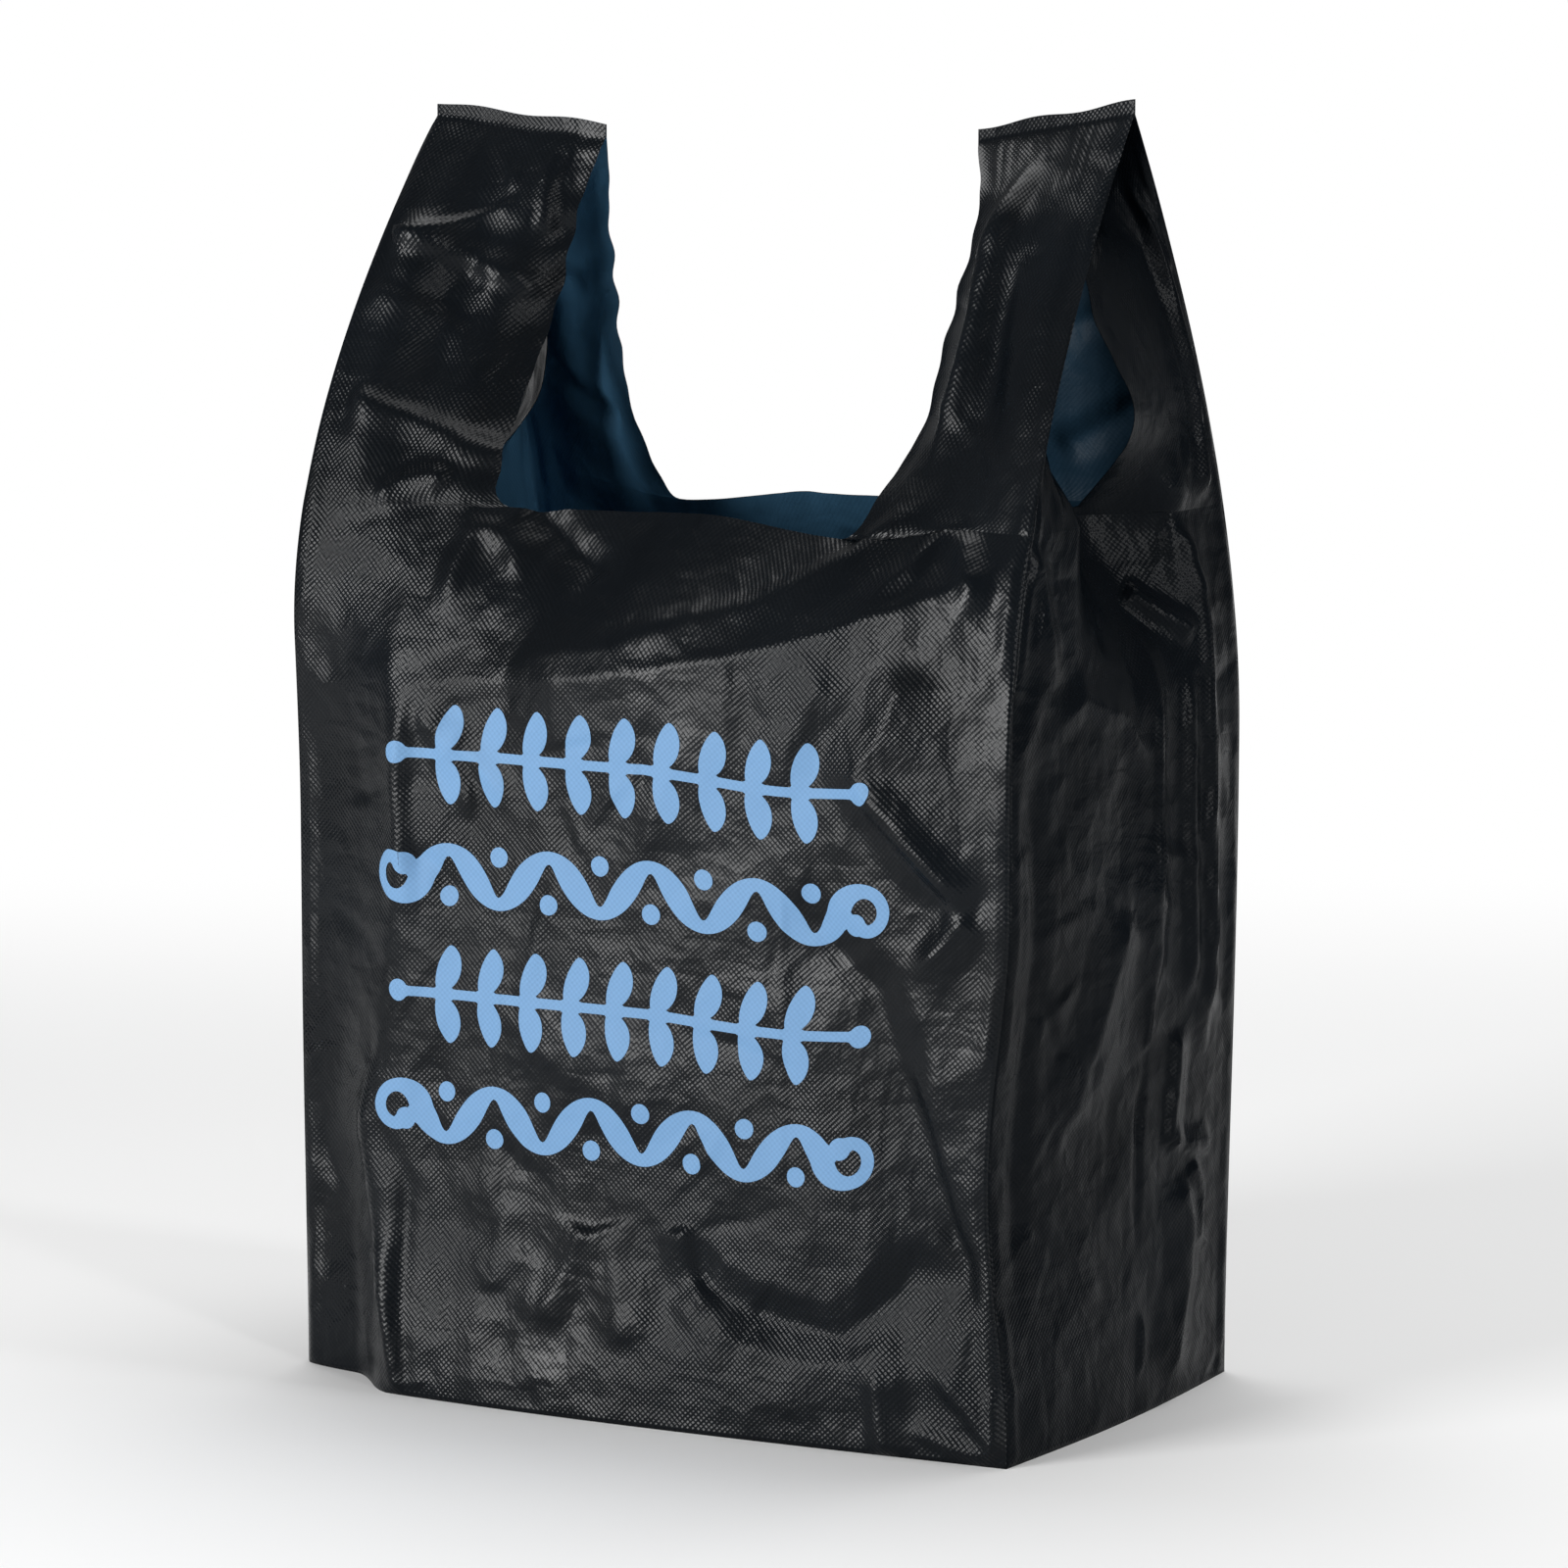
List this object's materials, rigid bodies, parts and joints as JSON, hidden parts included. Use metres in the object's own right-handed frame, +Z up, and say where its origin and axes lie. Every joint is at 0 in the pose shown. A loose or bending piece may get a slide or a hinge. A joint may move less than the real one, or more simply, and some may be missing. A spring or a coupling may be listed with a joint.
{
  "type": "plastic carrier bag",
  "caption": "Thin embossed plastic film carrier bag with gusseted sides and welded loop handles, standing open on its folded base with its mouth and handle loops open.",
  "frame": {"origin": "middle of the bag's outline on the surface it stands on", "axes": "+Z up towards the handles, +X along the wide front panel to the right as seen from the front, and the printed front panel faces -Y"},
  "size_m": [0.3266, 0.2018, 0.484],
  "materials": {
    "black_film": "semi-gloss embossed polyethylene film"
  },
  "bodies": {
    "root": {"film_bag": "black_film"}
  },
  "joints": []
}
